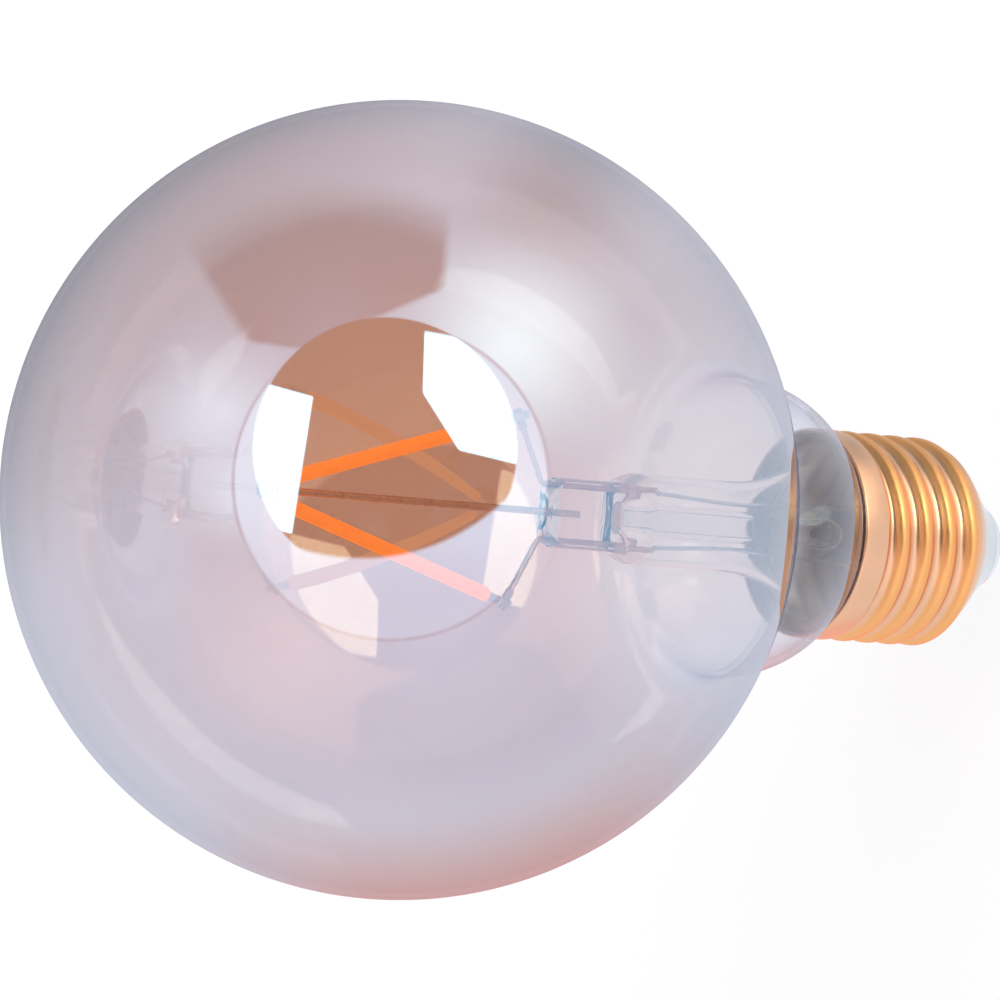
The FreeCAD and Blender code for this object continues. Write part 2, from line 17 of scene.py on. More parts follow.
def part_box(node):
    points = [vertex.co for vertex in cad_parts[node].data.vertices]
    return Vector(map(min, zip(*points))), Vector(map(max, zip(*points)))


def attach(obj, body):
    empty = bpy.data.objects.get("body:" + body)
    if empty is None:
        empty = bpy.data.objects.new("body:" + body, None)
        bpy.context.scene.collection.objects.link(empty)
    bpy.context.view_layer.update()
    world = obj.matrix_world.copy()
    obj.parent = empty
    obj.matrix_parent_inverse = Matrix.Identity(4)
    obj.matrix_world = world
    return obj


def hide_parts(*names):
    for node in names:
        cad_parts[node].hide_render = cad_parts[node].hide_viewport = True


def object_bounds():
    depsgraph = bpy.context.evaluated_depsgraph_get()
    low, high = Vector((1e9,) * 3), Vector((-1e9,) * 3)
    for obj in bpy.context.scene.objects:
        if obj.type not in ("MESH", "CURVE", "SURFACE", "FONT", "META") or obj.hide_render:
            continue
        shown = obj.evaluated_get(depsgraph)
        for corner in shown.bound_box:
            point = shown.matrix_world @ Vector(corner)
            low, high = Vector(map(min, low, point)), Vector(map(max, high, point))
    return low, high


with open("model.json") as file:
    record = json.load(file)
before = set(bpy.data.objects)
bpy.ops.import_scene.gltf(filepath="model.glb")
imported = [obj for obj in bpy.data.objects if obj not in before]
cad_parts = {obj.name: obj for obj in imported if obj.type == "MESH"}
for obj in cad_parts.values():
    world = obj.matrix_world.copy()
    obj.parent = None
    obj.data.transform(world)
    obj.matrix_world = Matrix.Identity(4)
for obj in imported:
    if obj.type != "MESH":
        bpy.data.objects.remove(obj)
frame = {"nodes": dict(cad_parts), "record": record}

cad_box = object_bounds()
scene = bpy.context.scene
print("frame nodes:", len(frame["nodes"]))

# %% [markdown]
# ## Helpers for modelling
# A lathe-turned or blown piece is a ring of points that is pulled along its outline. By hand that is a
# circle, then extrude and scale, again and again, so the helpers below do just that. The Screw modifier
# could turn a drawn outline too, but rings stay at hand here for the press, the thread and the fillet.

# %% Start a piece
RING_POINTS = 96


def clear_selection():
    """Leave edit mode and select nothing, so that the next operator touches only its own piece."""
    if bpy.context.object and bpy.context.object.mode != "OBJECT":
        bpy.ops.object.mode_set(mode="OBJECT")
    bpy.ops.object.select_all(action="DESELECT")


def name_piece(name):
    """Name the piece that was just added, and its mesh."""
    piece = bpy.context.object
    piece.name = name
    piece.data.name = name
    return piece


def start_ring(name, radius, height, points=RING_POINTS):
    """A circle about the lamp's axis, in edit mode and selected, ready to be pulled."""
    clear_selection()
    bpy.ops.mesh.primitive_circle_add(vertices=points, radius=radius, location=(0, 0, height))
    piece = name_piece(name)
    bpy.ops.object.transform_apply(location=True)
    bpy.ops.object.mode_set(mode="EDIT")
    bpy.ops.mesh.select_all(action="SELECT")
    return piece


print("points on a ring:", RING_POINTS)

# %% Pull a ring along its outline
def pull_ring(start, outline):
    """Extrude the selected ring from its (radius, height) through each (radius, height) of an outline."""
    radius, height = start
    for next_radius, next_height in outline:
        bpy.ops.mesh.extrude_region_move(TRANSFORM_OT_translate={"value": (0, 0, next_height - height)})
        ratio = next_radius / radius
        bpy.ops.transform.resize(value=(ratio, ratio, 1), center_override=(0, 0, next_height))
        radius, height = next_radius, next_height


def close_ring():
    """Close the selected ring with a fan of triangles about its middle."""
    bpy.ops.mesh.extrude_region_move(TRANSFORM_OT_translate={"value": (0, 0, 0)})
    bpy.ops.mesh.merge(type="CENTER")


def select_open_edge():
    """Select the edge where the mesh is open."""
    bpy.ops.mesh.select_all(action="DESELECT")
    bpy.ops.mesh.select_non_manifold()


def arc(centre, radius, first, last, steps):
    """Points of an arc in the (radius, height) plane, the first one left out; angles in radians."""
    points = []
    for step in range(1, steps + 1):
        angle = first + (last - first) * step / steps
        points.append((centre[0] + radius * math.cos(angle), centre[1] + radius * math.sin(angle)))
    return points


def straight(radius, low, high, steps):
    """Points up a straight stretch of tube, the first one left out."""
    return [(radius, low + (high - low) * step / steps) for step in range(1, steps + 1)]


print("ring helpers: pull, close, open edge, arc, straight")

# %% End a mesh and hand it over
MERGE_DISTANCE = 1e-6


def end_mesh(smooth_angle):
    """Merge doubles, point the faces outwards and shade the piece smooth."""
    bpy.ops.mesh.select_all(action="SELECT")
    bpy.ops.mesh.remove_doubles(threshold=MERGE_DISTANCE)
    bpy.ops.mesh.normals_make_consistent(inside=False)
    bpy.ops.object.mode_set(mode="OBJECT")
    bpy.ops.object.shade_smooth_by_angle(angle=smooth_angle)


def thicken(piece, thickness, rim_material):
    """Give an open skin its wall, inwards. The inside takes the piece's second material."""
    wall = piece.modifiers.new("wall", "SOLIDIFY")
    wall.thickness = thickness
    wall.offset = -1
    wall.material_offset = 1
    wall.material_offset_rim = rim_material
    bpy.ops.object.modifier_apply(modifier=wall.name)


def install(piece, node):
    """The piece stands in for a node of the frame: it hangs from the root body, and the node is hidden."""
    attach(piece, "root")
    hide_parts(node)
    print(f"{piece.name}: {len(piece.data.polygons)} faces")


print("doubles are merged within", MERGE_DISTANCE, "m")

# %% [markdown]
# ## Helpers for finishes
# Every finish is made of nodes. One shared group, `uneven_finish`, takes a colour and a roughness and
# lets both wander a little over the surface, as drawn wire, plating, moulding and glass all do. Painting
# a picture would be another way, but it would fix one size and one piece, and this reads any object.

# %% Single nodes
# The Mix node has sockets for several kinds of value. These are the ones for colours, by their number.
MIX_FACTOR = 0
MIX_FIRST = 6
MIX_SECOND = 7
MIX_RESULT = 2


def add_node(tree, kind, props=None, inputs=None):
    """Add a shader node, set its properties, and set or link its inputs."""
    made = tree.nodes.new("ShaderNode" + kind)
    for name, value in (props or {}).items():
        setattr(made, name, value)
    for name, value in (inputs or {}).items():
        if isinstance(value, bpy.types.NodeSocket):
            tree.links.new(value, made.inputs[name])
        else:
            made.inputs[name].default_value = value
    return made


def math_node(tree, operation, *values):
    """The result of one sum, such as ADD or MULTIPLY."""
    return add_node(tree, "Math", {"operation": operation}, dict(enumerate(values))).outputs[0]


def vector_node(tree, operation, *values):
    """A node that reckons with vectors, such as ADD or DOT_PRODUCT."""
    return add_node(tree, "VectorMath", {"operation": operation}, dict(enumerate(values)))


def ramp(tree, value, low, high, first=0.0, last=1.0, interpolation="SMOOTHSTEP"):
    """Goes from first to last while the value goes from low to high, and is level outside them."""
    inputs = {"Value": value, "From Min": low, "From Max": high, "To Min": first, "To Max": last}
    return add_node(tree, "MapRange", {"interpolation_type": interpolation}, inputs).outputs[0]


def full_colour(value):
    """A written colour with its fourth number; a socket stays as it is."""
    return value if isinstance(value, bpy.types.NodeSocket) else (*value, 1)


def mix_colour(tree, factor, first, second):
    """The first colour fades into the second as the factor grows."""
    inputs = {MIX_FACTOR: factor, MIX_FIRST: full_colour(first), MIX_SECOND: full_colour(second)}
    return add_node(tree, "Mix", {"data_type": "RGBA"}, inputs).outputs[MIX_RESULT]


print("node helpers: sums, vectors, ramps and mixed colours")

# %% Places on the lamp
NOISE_DETAIL = 5.0


def object_place(tree):
    """Where a point lies on the lamp, fixed to the object."""
    return add_node(tree, "TexCoord").outputs["Object"]


def noise(tree, scale):
    """A cloudy value about a half, fixed to the object."""
    inputs = {"Vector": object_place(tree), "Scale": scale, "Detail": NOISE_DETAIL}
    return add_node(tree, "TexNoise", inputs=inputs).outputs[0]


def height_mask(tree, low, high):
    """0 below one height on the lamp's axis and 1 above another, smooth between them."""
    height = add_node(tree, "SeparateXYZ", inputs={0: object_place(tree)}).outputs["Z"]
    return ramp(tree, height, low, high)


def bump(tree, height, distance, strength=1.0):
    """A normal from a height."""
    inputs = {"Height": height, "Distance": distance, "Strength": strength}
    return add_node(tree, "Bump", inputs=inputs).outputs[0]


print("noise detail:", NOISE_DETAIL)

# %% The shared group
NOISE_LOW = 0.25
NOISE_HIGH = 0.75


def make_uneven_finish():
    """Group: colour and roughness that wander with a noise, and the noise as a height."""
    group = bpy.data.node_groups.new("uneven_finish", "ShaderNodeTree")
    interface = group.interface
    interface.new_socket("Color", in_out="INPUT", socket_type="NodeSocketColor")
    for name in ("Scale", "Color Spread", "Roughness", "Roughness Spread"):
        interface.new_socket(name, in_out="INPUT", socket_type="NodeSocketFloat")
    interface.new_socket("Color", in_out="OUTPUT", socket_type="NodeSocketColor")
    interface.new_socket("Roughness", in_out="OUTPUT", socket_type="NodeSocketFloat")
    interface.new_socket("Height", in_out="OUTPUT", socket_type="NodeSocketFloat")
    given = group.nodes.new("NodeGroupInput").outputs
    height = noise(group, given["Scale"])
    swing = ramp(group, height, NOISE_LOW, NOISE_HIGH, first=-1.0, last=1.0, interpolation="LINEAR")
    gain = math_node(group, "MULTIPLY_ADD", swing, given["Color Spread"], 1.0)
    inputs = {0: given["Color"], "Scale": gain}
    colour = add_node(group, "VectorMath", {"operation": "SCALE"}, inputs).outputs[0]
    roughness = math_node(group, "MULTIPLY", swing, given["Roughness Spread"])
    roughness = math_node(group, "ADD", roughness, given["Roughness"])
    result = group.nodes.new("NodeGroupOutput").inputs
    group.links.new(colour, result["Color"])
    group.links.new(roughness, result["Roughness"])
    group.links.new(height, result["Height"])
    return group


uneven_finish = make_uneven_finish()


def uneven(tree, colour, scale, spread, roughness, roughness_spread):
    """Place the shared group in a material with its own values."""
    placed = tree.nodes.new("ShaderNodeGroup")
    placed.node_tree = uneven_finish
    placed.inputs["Color"].default_value = (*colour, 1)
    placed.inputs["Scale"].default_value = scale
    placed.inputs["Color Spread"].default_value = spread
    placed.inputs["Roughness"].default_value = roughness
    placed.inputs["Roughness Spread"].default_value = roughness_spread
    return placed.outputs


print("shared group:", uneven_finish.name)

# %% Whole materials
FINE_GRAIN = 0.00002


def empty_material(name):
    """A material with no nodes yet, and its tree."""
    material = bpy.data.materials.new(name)
    material.use_nodes = True
    material.node_tree.nodes.clear()
    return material, material.node_tree


def put_out(tree, shader):
    """Lead a shader to the material's output."""
    add_node(tree, "OutputMaterial", inputs={"Surface": shader.outputs[0]})


def plain_finish(
    name, colour, scale, spread, roughness, roughness_spread=0.08, grain=FINE_GRAIN, metallic=0.0, coat=0.0
):
    """One Principled surface over the shared group: metal, moulding, lacquer, cement."""
    material, tree = empty_material(name)
    wander = uneven(tree, colour, scale, spread, roughness, roughness_spread)
    inputs = {
        "Base Color": wander["Color"],
        "Roughness": wander["Roughness"],
        "Normal": bump(tree, wander["Height"], grain),
        "Metallic": metallic,
        "Coat Weight": coat,
    }
    put_out(tree, add_node(tree, "BsdfPrincipled", inputs=inputs))
    return material


print("grain of a fine finish:", FINE_GRAIN, "m")

# %% [markdown]
# ## The film and the bare glass
# The globe's outside carries a metal film a few hundred atoms thick. It lets amber light through and
# throws bluish light back, and that is why the globe looks mauve where it mirrors the white tent and
# brown where it mirrors the dark opening. It isn't quite even, so a faint cloud of thicker film lies over
# it. The wall is so thin that it hardly bends light, so it is a Transparent shader (what passes) added to
# a Glossy one (what is thrown back). Seen along the wall the film loses its colour and mirrors more, so
# both colours change with the facing angle, and from inside the globe its mirror is a little warmer.
# A Glass shader would bend the light properly, but it would also shut the lamps out of the globe.

# %% Colours of film and glass
FILM_PASSES = (0.72, 0.45, 0.325)
FILM_PASSES_EDGE = (0.36, 0.33, 0.33)
FILM_MIRRORS_THIN = (0.09, 0.243, 0.378)
FILM_MIRRORS_THICK = (0.11, 0.297, 0.462)
FILM_MIRRORS_EDGE = (0.43, 0.43, 0.47)
FILM_MIRRORS_INSIDE = (0.125, 0.25, 0.33)
FILM_CLOUD_SCALE = 35.0
NECK_PASSES_EDGE = (0.44, 0.43, 0.47)
NECK_MIRRORS = (0.0, 0.0, 0.0)
NECK_MIRRORS_EDGE = (0.46, 0.45, 0.50)
GLASS_PASSES = (0.97, 0.975, 0.985)
SKIN_MIRRORS = (0.57, 0.56, 0.64)
HEAD_ON_MIRROR = 0.04
OUTER_EDGE_MIRROR = 0.96
INNER_EDGE_MIRROR = 0.25
EDGE_SHARPNESS = 5.0
EVEN_FACING = 0.5

# The film ends in a soft line above the neck, between these two heights.
FILM_LOW = 0.041
FILM_HIGH = 0.050
print("the film fades out over", round(FILM_HIGH - FILM_LOW, 4), "m above the neck")

# %% The glass of the globe
def facing_angle(tree):
    """0 where the surface is seen head on, 1 where it is seen along itself, from either side."""
    return add_node(tree, "LayerWeight", inputs={"Blend": EVEN_FACING}).outputs["Facing"]


def mirror(tree, colour):
    """A clean mirror of one colour."""
    return add_node(tree, "BsdfGlossy", inputs={"Color": full_colour(colour), "Roughness": 0.0})


def add_glass_skin(tree, wall, edge_mirror):
    """Bare glass mirrors a little head on, and much more at a grazing angle."""
    grazing = math_node(tree, "POWER", facing_angle(tree), EDGE_SHARPNESS)
    share = math_node(tree, "MULTIPLY_ADD", grazing, edge_mirror, HEAD_ON_MIRROR)
    skin = mirror(tree, SKIN_MIRRORS)
    put_out(tree, add_node(tree, "MixShader", inputs={0: share, 1: wall.outputs[0], 2: skin.outputs[0]}))


def make_film_glass():
    """The outside: film on the globe, bare glass on the neck."""
    material, tree = empty_material("mirror_film_glass")
    film = height_mask(tree, FILM_LOW, FILM_HIGH)
    facing = facing_angle(tree)
    inside = add_node(tree, "NewGeometry").outputs["Backfacing"]
    bare_passes = mix_colour(tree, facing, GLASS_PASSES, NECK_PASSES_EDGE)
    film_passes = mix_colour(tree, facing, FILM_PASSES, FILM_PASSES_EDGE)
    passes = mix_colour(tree, film, bare_passes, film_passes)
    bare_mirrors = mix_colour(tree, facing, NECK_MIRRORS, NECK_MIRRORS_EDGE)
    cloud = mix_colour(tree, noise(tree, FILM_CLOUD_SCALE), FILM_MIRRORS_THIN, FILM_MIRRORS_THICK)
    film_mirrors = mix_colour(tree, inside, cloud, FILM_MIRRORS_INSIDE)
    film_mirrors = mix_colour(tree, facing, film_mirrors, FILM_MIRRORS_EDGE)
    mirrors = mix_colour(tree, film, bare_mirrors, film_mirrors)
    through = add_node(tree, "BsdfTransparent", inputs={"Color": passes})
    back = mirror(tree, mirrors)
    wall = add_node(tree, "AddShader", inputs={0: through.outputs[0], 1: back.outputs[0]})
    add_glass_skin(tree, wall, OUTER_EDGE_MIRROR)
    return material


def make_bare_glass():
    """The inside of the wall."""
    material, tree = empty_material("bare_inner_wall")
    wall = add_node(tree, "BsdfTransparent", inputs={"Color": full_colour(GLASS_PASSES)})
    add_glass_skin(tree, wall, INNER_EDGE_MIRROR)
    return material


film_glass = make_film_glass()
bare_glass = make_bare_glass()
print("glass finishes:", film_glass.name, bare_glass.name)

# %% [markdown]
# ## The globe
# The real globe is blown as one piece: a sphere, a tight fillet, a neck that bulges and then rounds in to
# the mouth of the cap. A sphere primitive gives the round part at once. The plane where the fillet starts
# cuts its underside away, the open edge is pulled down along the neck's arcs, and a Solidify modifier
# gives the wall its thickness inwards, with the bare glass on the inside.

# %% Outline of the neck
GLASS_WALL = 0.0008
NECK_RADIUS = 0.0125
NECK_FILLET = 0.0056
BULGE_RADIUS = 0.0187
BULGE_ROUND = 0.0162
ROOT_ROUND = 0.001
FILLET_STEPS = 14
BULGE_STEPS = 24
ROOT_STEPS = 8

globe_low, globe_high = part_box("globe_envelope")
globe_radius = globe_high.x
globe_centre = Vector((0, 0, globe_high.z - globe_radius))
neck_end = globe_low.z

# The fillet touches the sphere and the bulge.
fillet_middle = BULGE_RADIUS + NECK_FILLET
fillet_reach = globe_radius + NECK_FILLET
fillet_drop = math.sqrt(fillet_reach ** 2 - fillet_middle ** 2)
fillet_start = math.atan2(fillet_drop, -fillet_middle)
tangent_radius = fillet_middle * globe_radius / fillet_reach
tangent_height = globe_centre.z - fillet_drop * globe_radius / fillet_reach

# The bulge's arc ends where the small round of the root touches it.
bulge_height = globe_centre.z - fillet_drop
bulge_middle = BULGE_RADIUS - BULGE_ROUND
root_middle = NECK_RADIUS + ROOT_ROUND
root_drop = math.sqrt((BULGE_ROUND + ROOT_ROUND) ** 2 - (root_middle - bulge_middle) ** 2)
root_height = bulge_height - root_drop
bulge_last = math.atan2(-root_drop, root_middle - bulge_middle)

neck_outline = arc((fillet_middle, bulge_height), NECK_FILLET, fillet_start, math.pi, FILLET_STEPS)
neck_outline += arc((bulge_middle, bulge_height), BULGE_ROUND, 0, bulge_last, BULGE_STEPS)
neck_outline += arc((root_middle, root_height), ROOT_ROUND, bulge_last + math.pi, math.pi, ROOT_STEPS)
neck_outline += [(NECK_RADIUS, neck_end)]
print("globe radius:", round(globe_radius, 5), "points down the neck:", len(neck_outline))

# %% Blow the globe
GLOBE_SEGMENTS = 192
GLOBE_RINGS = 96
GLOBE_SMOOTH_ANGLE = math.radians(60)

clear_selection()
bpy.ops.mesh.primitive_uv_sphere_add(
    segments=GLOBE_SEGMENTS, ring_count=GLOBE_RINGS, radius=globe_radius, location=globe_centre
)
globe = name_piece("globe_glass")
bpy.ops.object.transform_apply(location=True)
globe.data.materials.append(film_glass)
globe.data.materials.append(bare_glass)
bpy.ops.object.mode_set(mode="EDIT")
bpy.ops.mesh.select_all(action="SELECT")
bpy.ops.mesh.bisect(plane_co=(0, 0, tangent_height), plane_no=(0, 0, 1), clear_inner=True)
select_open_edge()
pull_ring((tangent_radius, tangent_height), neck_outline)
end_mesh(GLOBE_SMOOTH_ANGLE)
thicken(globe, GLASS_WALL, rim_material=1)
install(globe, "globe_envelope")

# %% [markdown]
# ## The glass stem
# A stem is a glass tube: its lower end is flared and melted to the neck, and its upper end is heated and
# squeezed flat round the wires. It is pulled as rings too: down the inside from the closed end of the
# bore, round the foot and up the outside. Then the two jaws of the press come in: every point that stands
# outside the jaws is set back to their faces. This glass is thick, so it gets a true refraction, with an
# index below that of real glass, so that the edges of the press stay as pale as they are in a white tent.

# %% The clear glass
STEM_INDEX = 1.32
STEM_COLOUR = (0.985, 0.99, 0.995)
STREAK_SCALE = 120.0
STREAK_SPREAD = 0.01
STREAK_DEPTH = 0.00003
STREAK_STRENGTH = 0.6


def clear_glass_finish():
    """Clear glass with the faint streaks of a drawn tube."""
    material, tree = empty_material("clear_tube_glass")
    streaks = uneven(tree, STEM_COLOUR, STREAK_SCALE, STREAK_SPREAD, roughness=0.0, roughness_spread=0.0)
    inputs = {
        "Base Color": streaks["Color"],
        "Roughness": 0.0,
        "IOR": STEM_INDEX,
        "Transmission Weight": 1.0,
        "Normal": bump(tree, streaks["Height"], STREAK_DEPTH, STREAK_STRENGTH),
    }
    put_out(tree, add_node(tree, "BsdfPrincipled", inputs=inputs))
    return material


clear_glass = clear_glass_finish()
print("stem finish:", clear_glass.name)

# %% Sizes of the stem
STEM_RADIUS = 0.0056
STEM_BORE = 0.0046
FOOT_EDGE = 0.0006
SEAL_BAND = 0.0008
FLARE_HEIGHT = 0.015
PINCH_HEIGHT = 0.004
PRESS_HEIGHT = 0.0082
PRESS_HALF_WIDTH = 0.0043
PRESS_HALF_THICKNESS = 0.0023
PRESS_ROUND = 0.0008
CAVITY_CROWN = 0.0015
CAVITY_TAPER = 0.004

neck_bore = NECK_RADIUS - GLASS_WALL
flare_top = neck_end + FLARE_HEIGHT
press_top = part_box("stem_tube")[1].z
press_base = press_top - PRESS_HEIGHT
pinch_base = press_base - PINCH_HEIGHT
cavity_top = press_base - CAVITY_CROWN
exhaust_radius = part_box("exhaust_tube")[1].x
print("stem from", round(neck_end, 4), "to", round(press_top, 4))

# %% Outline of the stem
FLARE_STEPS = 14
CAVITY_STEPS = 8
TUBE_STEPS = 4
PINCH_STEPS = 12
PRESS_STEPS = 6
ROUND_STEPS = 5


def smooth_step(value):
    """From 0 to 1 in a smooth S, and level outside."""
    value = min(max(value, 0.0), 1.0)
    return value * value * (3 - 2 * value)


def flare(inner_radius, outer_radius, low, high):
    """Points of the arc that leaves the foot and arrives at the tube parallel to the axis."""
    step_out = outer_radius - inner_radius
    rise = high - low
    radius = (step_out ** 2 + rise ** 2) / (2 * step_out)
    turn = math.asin(rise / radius)
    return arc((inner_radius + radius, high), radius, math.pi + turn, math.pi, FLARE_STEPS)


def ogee(first, last, steps):
    """A smooth S from one point to another that leaves and arrives parallel to the axis."""
    points = []
    for step in range(1, steps + 1):
        share = step / steps
        radius = first[0] + (last[0] - first[0]) * smooth_step(share)
        points.append((radius, first[1] + (last[1] - first[1]) * share))
    return points


foot_inner = (neck_bore - FOOT_EDGE, neck_end)
bore_shoulder = (STEM_BORE, cavity_top - CAVITY_TAPER)
inner_flare = flare(STEM_BORE, foot_inner[0], neck_end, flare_top)
stem_outline = ogee((exhaust_radius, cavity_top), bore_shoulder, CAVITY_STEPS)
stem_outline += inner_flare[::-1] + [foot_inner]
stem_outline += [(neck_bore, neck_end), (neck_bore, neck_end + SEAL_BAND)]
stem_outline += flare(STEM_RADIUS, neck_bore, neck_end + SEAL_BAND, flare_top)
stem_outline += straight(STEM_RADIUS, flare_top, pinch_base, TUBE_STEPS)
stem_outline += ogee((STEM_RADIUS, pinch_base), (PRESS_HALF_WIDTH, press_base), PINCH_STEPS)
stem_outline += straight(PRESS_HALF_WIDTH, press_base, press_top - PRESS_ROUND, PRESS_STEPS)
round_middle = (PRESS_HALF_WIDTH - PRESS_ROUND, press_top - PRESS_ROUND)
stem_outline += arc(round_middle, PRESS_ROUND, 0, math.pi / 2, ROUND_STEPS)
print("points along the stem:", len(stem_outline))

# %% Pull and press the stem
STEM_SMOOTH_ANGLE = math.radians(50)


def jaw_depth(height):
    """Distance from the axis to a jaw's face: wide open below the pinch, the press's half above it."""
    closed = smooth_step((height - pinch_base) / PINCH_HEIGHT)
    return STEM_RADIUS + (PRESS_HALF_THICKNESS - STEM_RADIUS) * closed


stem = start_ring("stem_glass", exhaust_radius, cavity_top)
stem.data.materials.append(clear_glass)
pull_ring((exhaust_radius, cavity_top), stem_outline)
close_ring()
select_open_edge()
close_ring()
end_mesh(STEM_SMOOTH_ANGLE)
for vertex in stem.data.vertices:
    reach = jaw_depth(vertex.co.z)
    if vertex.co.z > pinch_base and abs(vertex.co.y) > reach:
        vertex.co.y = math.copysign(reach, vertex.co.y)
install(stem, "stem_tube")

# %% [markdown]
# ## The screw shell
# The shell is a thin brass cup, plated gold, and its thread is rolled in: the sheet waves in and out
# along a helix. A Screw modifier makes an endless helix, but not the run-outs into the plain skirt and
# the rounded shoulder. So a plain tube of many rings is pulled first, and each of its points is then
# set to the radius that the rollers leave at its height and angle. The plating is a pale peach gold on
# the skirt and in the grooves; the crests are duller, and a painted shade makes them a deeper orange.

# %% Form of the rolled thread
CREST_RADIUS = 0.01315
THREAD_DEPTH = 0.0011
THREAD_PITCH = 0.003629
THREAD_PHASE_HEIGHT = 0.01535
THREAD_RUN_OUT = 0.0015
SKIRT_HEIGHT = 0.0032
SHOULDER_HEIGHT = 0.00345
SHOULDER_TURN = math.radians(60)
LIP_RADIUS = 0.0105
SEAT_TOP = 0.008776

shell_low, shell_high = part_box("screw_shell")
nose_height = shell_low.z
cap_height = shell_high.z
thread_top = cap_height - SKIRT_HEIGHT
shoulder_top = nose_height + SHOULDER_HEIGHT


def thread_radius(height, angle):
    """The endless round thread: equal crest and root arcs that meet tangent."""
    quarter = THREAD_PITCH / 4
    half_depth = THREAD_DEPTH / 2
    arc_radius = (quarter ** 2 + half_depth ** 2) / (2 * half_depth)
    turns = (height - THREAD_PHASE_HEIGHT) / THREAD_PITCH - angle / (2 * math.pi)
    from_crest = abs(turns - round(turns)) * THREAD_PITCH
    if from_crest <= quarter:
        return CREST_RADIUS - arc_radius + math.sqrt(arc_radius ** 2 - from_crest ** 2)
    from_root = THREAD_PITCH / 2 - from_crest
    return CREST_RADIUS - THREAD_DEPTH + arc_radius - math.sqrt(arc_radius ** 2 - from_root ** 2)


def shell_radius(height, angle):
    """Shoulder, thread, run-out and plain skirt, by height and angle."""
    fade = smooth_step((thread_top - height) / THREAD_RUN_OUT)
    threaded = CREST_RADIUS + (thread_radius(height, angle) - CREST_RADIUS) * fade
    if height >= shoulder_top:
        return threaded
    turned = SHOULDER_TURN * (height - nose_height) / SHOULDER_HEIGHT
    rounded = LIP_RADIUS + (CREST_RADIUS - LIP_RADIUS) * math.sin(turned) / math.sin(SHOULDER_TURN)
    blend = smooth_step((height - SEAT_TOP) / (shoulder_top - SEAT_TOP))
    return rounded + (threaded - rounded) * blend


print("turns of thread:", round((thread_top - shoulder_top) / THREAD_PITCH, 2))

# %% The gold plate
PEACH_GOLD = (0.80, 0.465, 0.30)
PAINTED_SHADE_CREST_GOLD = (0.88, 0.43, 0.17)
CREST_DULLING = 0.10
CREST_SHADE_STARTS = CREST_RADIUS - 0.95 * THREAD_DEPTH
CREST_SHADE_FULL = CREST_RADIUS - 0.45 * THREAD_DEPTH
SPECK_BROWN = (0.42, 0.23, 0.10)
SPECK_SCALE = 2600.0
SPECK_LOW = 0.68
SPECK_HIGH = 0.76
SPECK_SHARE = 0.6
WHITE = (1, 1, 1)


def axis_distance(tree):
    """How far a point lies from the lamp's axis."""
    split = add_node(tree, "SeparateXYZ", inputs={0: object_place(tree)}).outputs
    flat = add_node(tree, "CombineXYZ", inputs={"X": split["X"], "Y": split["Y"]}).outputs[0]
    return vector_node(tree, "LENGTH", flat).outputs["Value"]


def gold_plate_finish():
    """Bright plating: peach on the skirt and in the grooves, duller and with a painted shade of deeper orange
    on the crests, with specks.
    """
    material, tree = empty_material("gold_plate")
    wander = uneven(tree, PEACH_GOLD, scale=260.0, spread=0.05, roughness=0.31, roughness_spread=0.06)
    crest = ramp(tree, axis_distance(tree), CREST_SHADE_STARTS, CREST_SHADE_FULL)
    skirt = height_mask(tree, thread_top - THREAD_RUN_OUT, thread_top)
    threaded = math_node(tree, "SUBTRACT", height_mask(tree, SEAT_TOP, shoulder_top), skirt)
    crest_shade_and_dulling = math_node(tree, "MULTIPLY", crest, threaded)
    # Painted shade: on the crests the colour is mixed towards a darker, deeper orange, and the roughness is
    # raised.
    colour = mix_colour(tree, crest_shade_and_dulling, wander["Color"], PAINTED_SHADE_CREST_GOLD)
    dulled = math_node(tree, "MULTIPLY", crest_shade_and_dulling, CREST_DULLING)
    grains = uneven(tree, WHITE, SPECK_SCALE, spread=0.0, roughness=0.0, roughness_spread=0.0)["Height"]
    specks = ramp(tree, grains, SPECK_LOW, SPECK_HIGH, last=SPECK_SHARE, interpolation="LINEAR")
    inputs = {
        "Base Color": mix_colour(tree, specks, colour, SPECK_BROWN),
        "Metallic": 1.0,
        "Roughness": math_node(tree, "ADD", wander["Roughness"], dulled),
        "Normal": bump(tree, wander["Height"], FINE_GRAIN),
    }
    put_out(tree, add_node(tree, "BsdfPrincipled", inputs=inputs))
    return material


gold_plate = gold_plate_finish()
bare_inside = plain_finish(
    "dull_sheet_inside",
    (0.56, 0.45, 0.29),
    scale=180.0,
    spread=0.06,
    roughness=0.75,
    roughness_spread=0.1,
    metallic=0.1,
)
print("shell finishes:", gold_plate.name, bare_inside.name)

# %% Pull and roll the shell
SHELL_WALL = 0.0003
RIM_CHAMFER = 0.0001
SHELL_POINTS = 160
RINGS_PER_TURN = 18
SHELL_SMOOTH_ANGLE = math.radians(60)

ring_count = round((thread_top - nose_height) / THREAD_PITCH * RINGS_PER_TURN)
tube = straight(CREST_RADIUS, nose_height, thread_top, ring_count)
tube += [(CREST_RADIUS, cap_height - SHELL_WALL), (CREST_RADIUS - RIM_CHAMFER, cap_height)]
shell = start_ring("thread_shell", CREST_RADIUS, nose_height, SHELL_POINTS)
shell.data.materials.append(gold_plate)
shell.data.materials.append(bare_inside)
pull_ring((CREST_RADIUS, nose_height), tube)
end_mesh(SHELL_SMOOTH_ANGLE)
for vertex in shell.data.vertices:
    if vertex.co.z <= thread_top:
        angle = math.atan2(vertex.co.y, vertex.co.x)
        rolled = shell_radius(vertex.co.z, angle) / CREST_RADIUS
        vertex.co.x *= rolled
        vertex.co.y *= rolled
thicken(shell, SHELL_WALL, rim_material=0)
install(shell, "screw_shell")
